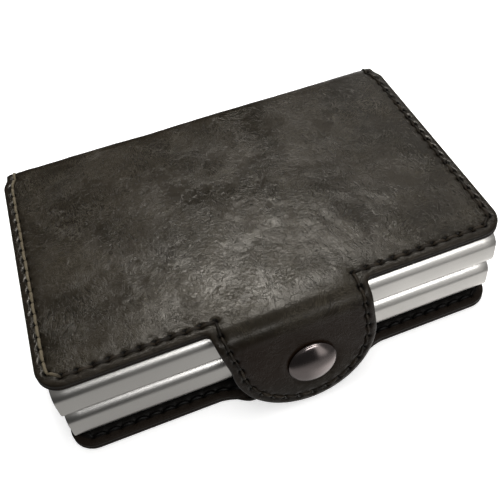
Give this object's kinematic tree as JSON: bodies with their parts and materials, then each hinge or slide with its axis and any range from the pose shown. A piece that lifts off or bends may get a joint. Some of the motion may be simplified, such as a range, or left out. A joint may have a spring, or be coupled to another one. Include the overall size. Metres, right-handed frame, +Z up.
{
  "type": "card wallet",
  "caption": "Double aluminium pop-up card case in a folding leather cover with a rounded snap closing tab, eject levers and a hinged spine.",
  "frame": {"origin": "middle of the wallet's underside, between the two short ends, on the flat face of the bottom cover", "axes": "+X along the long side towards the card mouths, +Y towards the spine (the closing tab is on -Y), +Z up out of the closed top cover"},
  "size_m": [0.104, 0.0764, 0.0278],
  "materials": {
    "outer_leather": "crinkled satin",
    "lining": "matte",
    "board": "matte",
    "foam_tape": "matte",
    "aluminium": "satin anodised",
    "black_plastic": "fine texture",
    "felt": "felt",
    "pin_steel": "ground",
    "gunmetal": "polished gunmetal"
  },
  "bodies": {
    "bottom_cover": {"bottom_cover_leather": "outer_leather", "bottom_cover_board": "board", "bottom_cover_lining": "lining", "lower_case_pad": "foam_tape", "lower_case_shell": "aluminium", "lower_inner_frame": "black_plastic", "lower_mouth_frame": "black_plastic", "lower_friction_felt": "felt", "lower_lever_pin": "pin_steel"},
    "spine": {"spine_leather": "outer_leather", "spine_lining": "lining"},
    "top_cover": {"top_cover_leather": "outer_leather", "top_cover_board": "board", "top_cover_lining": "lining", "upper_case_pad": "foam_tape", "upper_case_shell": "aluminium", "upper_inner_frame": "black_plastic", "upper_mouth_frame": "black_plastic", "upper_friction_felt": "felt", "upper_lever_pin": "pin_steel"},
    "closing_tab": {"closing_tab_leather": "outer_leather", "closing_tab_lining": "lining", "snap_cap": "gunmetal", "snap_socket": "gunmetal"},
    "stud_tab": {"stud_tab_leather": "outer_leather", "stud_tab_lining": "lining", "snap_stud": "gunmetal", "snap_post": "gunmetal"},
    "lower_lever": {"lower_eject_lever": "black_plastic"},
    "upper_lever": {"upper_eject_lever": "black_plastic"}
  },
  "joints": [
    {"name": "spine_fold", "type": "hinge", "parent": "bottom_cover", "child": "spine", "pos_m": [0, 0.0326, 0.001], "axis": [-1, 0, 0], "range_deg": [0, 90]},
    {"name": "cover_fold", "type": "hinge", "parent": "spine", "child": "top_cover", "pos_m": [0, 0.0326, 0.0268], "axis": [-1, 0, 0], "range_deg": [0, 90]},
    {"name": "closing_tab_fold", "type": "hinge", "parent": "top_cover", "child": "closing_tab", "pos_m": [0, -0.03725, 0.0268], "axis": [-1, 0, 0], "range_deg": [0, 110]},
    {"name": "stud_tab_fold", "type": "hinge", "parent": "bottom_cover", "child": "stud_tab", "pos_m": [0, -0.03779, 0.001], "axis": [1, 0, 0], "range_deg": [0, 60]},
    {"name": "lower_lever_swing", "type": "hinge", "parent": "bottom_cover", "child": "lower_lever", "pos_m": [-0.0412, -0.0197, 0.00885], "axis": [0, 0, -1], "range_deg": [0, 30]},
    {"name": "upper_lever_swing", "type": "hinge", "parent": "top_cover", "child": "upper_lever", "pos_m": [-0.0412, 0.0155, 0.01895], "axis": [0, 0, 1], "range_deg": [0, 30]}
  ],
  "couplings": [
    {"joint": "stud_tab_fold", "follows": "closing_tab_fold", "ratio": 0.5}
  ]
}
